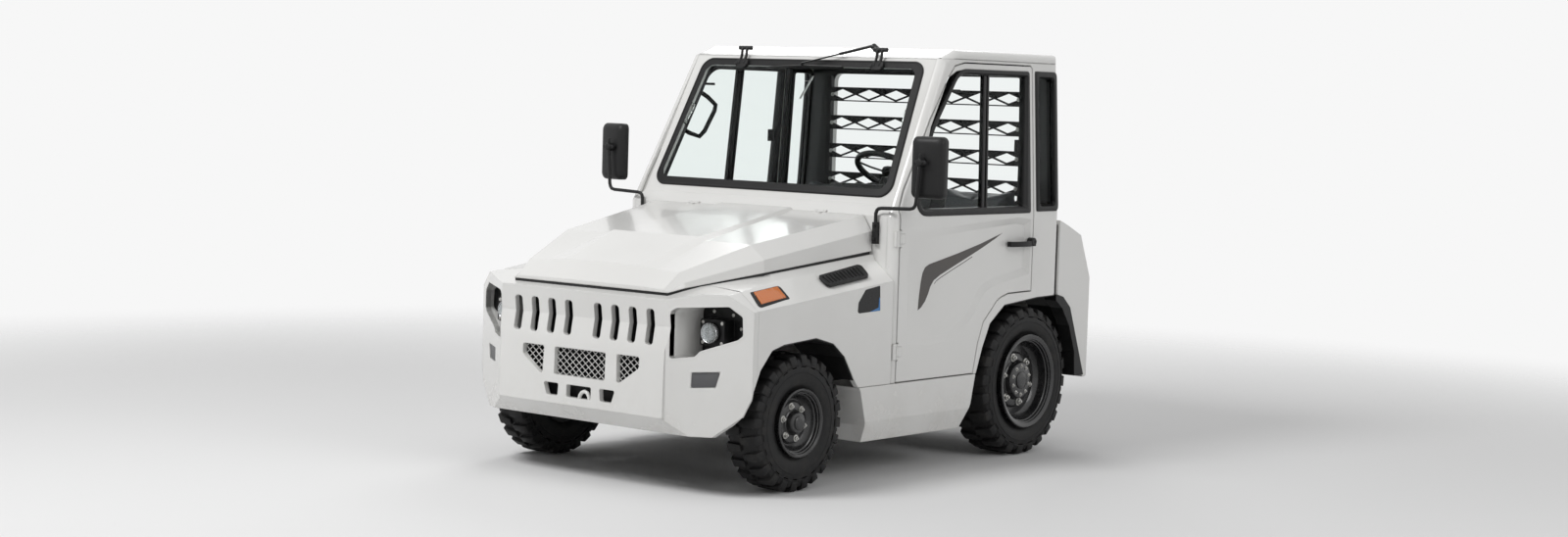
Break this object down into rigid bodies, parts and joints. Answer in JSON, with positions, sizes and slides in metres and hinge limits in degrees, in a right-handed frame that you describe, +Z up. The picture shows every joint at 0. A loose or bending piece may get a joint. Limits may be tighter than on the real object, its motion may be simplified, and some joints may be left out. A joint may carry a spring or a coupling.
{
  "type": "airport tow tractor",
  "caption": "Compact front-steered airport tow tractor with an enclosed two-door cab, opening hood and a jaw hitch at the rear.",
  "frame": {"origin": "on the ground on the centre line, midway along the overall length", "axes": "+Z up, -Y forward (towards the grille), +X to the vehicle's left, the driver's side"},
  "size_m": [2.0366, 2.84, 1.9059],
  "materials": {
    "body_paint": "warm off-white gloss paint",
    "black_plastic": "fine-grained black moulding",
    "chassis_paint": "satin black paint",
    "engine_grey": "painted casting",
    "floor_mat": "ribbed rubber mat",
    "wheel_paint": "gloss black paint",
    "tyre": "black rubber",
    "window_glass": "clear safety glass with a faint green tint",
    "seat_vinyl": "dark grey vinyl",
    "lamp_black": "black lamp housing",
    "indicator_orange": "amber lens"
  },
  "bodies": {
    "vehicle": {"cab_floor": "floor_mat", "cab_front": "body_paint", "cab_rear_wall": "body_paint", "cab_side_left": "body_paint", "cab_side_right": "body_paint", "chassis": "chassis_paint", "dashboard": "black_plastic", "engine_block": "engine_grey", "fender_left": "body_paint", "fender_right": "body_paint", "fender_vents": "black_plastic", "front_axle": "chassis_paint", "front_fascia": "body_paint", "front_liners": "black_plastic", "headlamps": "lamp_black", "hood_hinges": "body_paint", "indicators": "indicator_orange", "mirror_left": "black_plastic", "mirror_right": "black_plastic", "quarter_glasses": "window_glass", "radiator": "chassis_paint", "rear_axle": "chassis_paint", "rear_body": "body_paint", "rear_flares": "black_plastic", "rear_guard": "chassis_paint", "rear_wheelhouses": "black_plastic", "roof": "body_paint", "seat_back_left": "seat_vinyl", "seat_back_right": "seat_vinyl", "seat_cushion_left": "seat_vinyl", "seat_cushion_right": "seat_vinyl", "seat_pedestals": "chassis_paint", "side_step_left": "body_paint", "side_step_right": "body_paint", "steering_column": "black_plastic", "tow_hitch": "chassis_paint", "windscreen": "window_glass"},
    "knuckle_left": {"knuckle_left": "chassis_paint"},
    "knuckle_right": {"knuckle_right": "chassis_paint"},
    "front_wheel_left": {"front_rim_left": "wheel_paint", "front_tyre_left": "tyre"},
    "front_wheel_right": {"front_rim_right": "wheel_paint", "front_tyre_right": "tyre"},
    "rear_wheel_left": {"rear_rim_left": "wheel_paint", "rear_tyre_left": "tyre"},
    "rear_wheel_right": {"rear_rim_right": "wheel_paint", "rear_tyre_right": "tyre"},
    "door_left": {"door_left": "body_paint", "door_handle_left": "black_plastic", "door_glass_left": "window_glass"},
    "door_right": {"door_right": "body_paint", "door_handle_right": "black_plastic", "door_glass_right": "window_glass"},
    "hood": {"hood": "body_paint"},
    "steering_wheel": {"steering_wheel": "black_plastic"}
  },
  "joints": [
    {"name": "steer_left", "type": "hinge", "parent": "vehicle", "child": "knuckle_left", "pos_m": [0.6, -0.905, 0.295], "axis": [0, 0, 1], "range_deg": [-35, 35]},
    {"name": "steer_right", "type": "hinge", "parent": "vehicle", "child": "knuckle_right", "pos_m": [-0.6, -0.905, 0.295], "axis": [0, 0, 1], "range_deg": [-35, 35]},
    {"name": "spin_front_left", "type": "hinge", "parent": "knuckle_left", "child": "front_wheel_left", "pos_m": [0.691, -0.905, 0.295], "axis": [1, 0, 0], "continuous": true},
    {"name": "spin_front_right", "type": "hinge", "parent": "knuckle_right", "child": "front_wheel_right", "pos_m": [-0.691, -0.905, 0.295], "axis": [1, 0, 0], "continuous": true},
    {"name": "spin_rear_left", "type": "hinge", "parent": "vehicle", "child": "rear_wheel_left", "pos_m": [0.682, 0.795, 0.353], "axis": [1, 0, 0], "continuous": true},
    {"name": "spin_rear_right", "type": "hinge", "parent": "vehicle", "child": "rear_wheel_right", "pos_m": [-0.682, 0.795, 0.353], "axis": [1, 0, 0], "continuous": true},
    {"name": "door_left_swing", "type": "hinge", "parent": "vehicle", "child": "door_left", "pos_m": [0.8, -0.267, 0.81], "axis": [0, 0, -1], "range_deg": [0, 62]},
    {"name": "door_right_swing", "type": "hinge", "parent": "vehicle", "child": "door_right", "pos_m": [-0.8, -0.267, 0.81], "axis": [0, 0, 1], "range_deg": [0, 62]},
    {"name": "hood_lift", "type": "hinge", "parent": "vehicle", "child": "hood", "pos_m": [0, -0.307, 1.16], "axis": [-1, 0, 0], "range_deg": [0, 50]},
    {"name": "steering_wheel_turn", "type": "hinge", "parent": "vehicle", "child": "steering_wheel", "pos_m": [0.43, 0.145, 1.335], "axis": [0, 0.5299, 0.848], "range_deg": [-360, 360]}
  ],
  "couplings": [
    {"joint": "steer_right", "follows": "steer_left", "ratio": 1},
    {"joint": "steering_wheel_turn", "follows": "steer_left", "ratio": 10}
  ]
}
